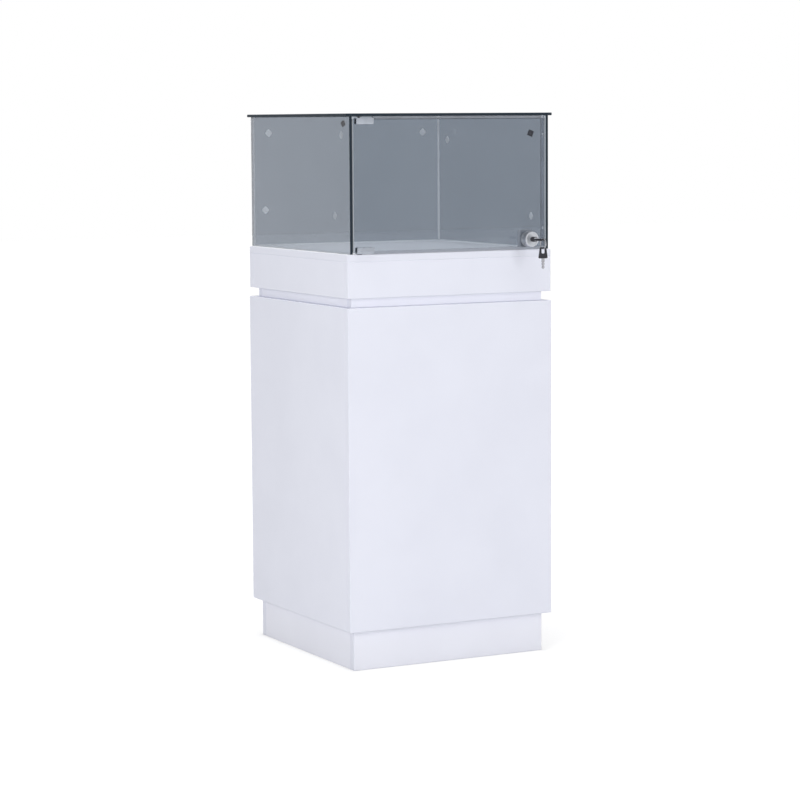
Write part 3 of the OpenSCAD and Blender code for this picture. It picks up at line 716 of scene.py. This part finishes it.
def sealant():
    """A smooth hollow bead along the foot of the panes and up the back corners."""
    bead, steps = 3.2 * MM, 8
    low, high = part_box("glass_sealant")
    section = [(0.0, 0.0)] + [
        (bead * (1 - math.cos(a)), bead * (1 - math.sin(a)))
        for a in (math.pi / 2 * k / steps for k in range(steps + 1))
    ]
    corners = [
        (low.x, low.y, (1, 0)), (low.x, high.y, (1, -1)),
        (high.x, high.y, (-1, -1)), (high.x, low.y, (-1, 0)),
    ]
    bm = bmesh.new()
    skin(bm, [
        [bm.verts.new((x + u * way[0], y + u * way[1], low.z + v)) for u, v in section]
        for x, y, way in corners
    ])
    for x, y, way in corners[1:3]:
        skin(bm, [
            [bm.verts.new((x + u * way[0], y + v * way[1], z)) for u, v in section]
            for z in (low.z, high.z)
        ])
    stand_in("glass_sealant", bm, BEAD_SHARP)


def glass_pads():
    """Clear square pads stuck on the inside of the panes, with softly domed faces."""
    thick, height = 1.0 * MM, 0.9 * MM
    gap = 0.04 * MM         # off the pane, so that light through it reaches the pad
    left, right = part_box("left_glass")[1].x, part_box("right_glass")[0].x
    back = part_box("back_glass")[0].y
    bm = bmesh.new()
    for points in solids("glass_pads"):
        middle = sum(points, Vector()) / len(points)
        half = max(p.z for p in points) - middle.z
        if abs(middle.x - left) < thick:
            foot, way = Vector((left, middle.y, middle.z)), Vector((1, 0, 0))
        elif abs(middle.x - right) < thick:
            foot, way = Vector((right, middle.y, middle.z)), Vector((-1, 0, 0))
        else:
            foot, way = Vector((middle.x, back, middle.z)), Vector((0, -1, 0))
        dome(bm, foot + gap * way, way, half, height, SQUARE_POWER)
    stand_in("glass_pads", bm, DOME_SHARP)


def door_bumpers():
    """Clear round bumpers on the stop strip, where the closed door rests."""
    bm = bmesh.new()
    for points in solids("door_bumpers"):
        middle = sum(points, Vector()) / len(points)
        half = max(p.z for p in points) - middle.z
        near, far = min(p.y for p in points), max(p.y for p in points)
        foot = Vector((middle.x, far, middle.z))
        dome(bm, foot, Vector((0, -1, 0)), half, far - near, ROUND_POWER)
    stand_in("door_bumpers", bm, DOME_SHARP)


# ------------------------------------------------------------------ stage


def make_camera():
    data = bpy.data.cameras.new("camera")
    data.lens, data.sensor_width, data.clip_end = CAMERA_LENS, CAMERA_SENSOR, FAR
    camera = bpy.data.objects.new("camera", data)
    camera.matrix_world = (
        Matrix.Translation(CAMERA_PLACE)
        @ Matrix.Rotation(-math.radians(CAMERA_AZIMUTH), 4, "Z")
        @ Matrix.Rotation(math.radians(90 + CAMERA_ELEVATION), 4, "X")
        @ Matrix.Rotation(math.radians(CAMERA_ROLL), 4, "Z")
    )
    bpy.context.scene.collection.objects.link(camera)
    bpy.context.scene.camera = camera


def make_lamps():
    for name, place, target, side, watts in LAMPS:
        data = bpy.data.lights.new(name, "AREA")
        data.size, data.energy = side, watts
        lamp = bpy.data.objects.new(name, data)
        lamp.location = place
        lamp.visible_camera = lamp.visible_glossy = lamp.visible_transmission = False
        way = Vector(target) - Vector(place)
        lamp.rotation_euler = way.to_track_quat("-Z", "Y").to_euler()
        bpy.context.scene.collection.objects.link(lamp)


def make_world():
    """A white backdrop all round, which lights the object at a plain level."""
    world = bpy.data.worlds.new("world")
    bpy.context.scene.world = world
    world.use_nodes = True
    tree = world.node_tree
    level = spread(tree, seen_directly(tree), AMBIENT, 1.0, start=0, end=1)
    shown = tree.nodes["Background"].inputs
    feed(tree, shown["Color"], (1, 1, 1, 1))
    feed(tree, shown["Strength"], level)


def floor_look():
    """Diffuse for the shadow, with a glow that makes it white where it's seen."""
    material = bpy.data.materials.new("floor")
    material.use_nodes = True
    tree = material.node_tree
    tree.nodes.remove(tree.nodes["Principled BSDF"])
    lit = add(tree, "ShaderNodeBsdfDiffuse", {"Color": FLOOR_COLOUR}).outputs[0]
    where = add(tree, "ShaderNodeTexCoord").outputs["Object"]
    away = add(tree, "ShaderNodeVectorMath", {0: where}, operation="LENGTH")
    lift = spread(tree, away.outputs["Value"], *FLOOR_LIFT, *FLOOR_REACH)
    lift = maths(tree, "MULTIPLY", seen_directly(tree), lift)
    glow = add(tree, "ShaderNodeEmission", {"Strength": lift}).outputs[0]
    both = add(tree, "ShaderNodeAddShader", {0: lit, 1: glow}).outputs[0]
    feed(tree, tree.nodes["Material Output"].inputs["Surface"], both)
    return material


def make_floor():
    """A white floor, which keeps the object's shadow."""
    bm = bmesh.new()
    bmesh.ops.create_grid(bm, x_segments=1, y_segments=1, size=FLOOR_HALF)
    floor = placed("floor", bm, floor_look())
    floor.location.z = -FLOOR_DROP


# ------------------------------------------------------------------ the scene

bpy.context.scene.view_settings.view_transform = "Standard"
make_camera()
make_lamps()
make_world()
make_floor()

for name, node in NODES.items():
    node.material_slots[0].material = material_of(name)

for name in SCREWS:
    crossed_screws(name)
for name in BLADES:
    grooved_blade(name)
for name, width in ROUNDED.items():
    softened(name, width, segments=3)

SEALED = MATERIALS["clear_silicone"]
for name in ("left_glass", "right_glass"):
    pane(name, GLASS_EDGE_SHADED, ((GLASS_BACK_EDGE, [(0, 1, 0)]), (SEALED, [(0, 0, -1)])))
pane("top_glass", GLASS_EDGE_SHADED)
pane("back_glass", GLASS_EDGE_SHADED, ((SEALED, [(1, 0, 0), (-1, 0, 0)]),), bonded=0)
pane("door_glass", GLASS_DOOR_EDGE, ((GLASS_EDGE_SHADED, [(0, 0, 1)]),))

top_stop()
side_pad()
pad_eye()
door_seal()
split_ring()
sealant()
glass_pads()
door_bumpers()

bpy.context.view_layer.update()
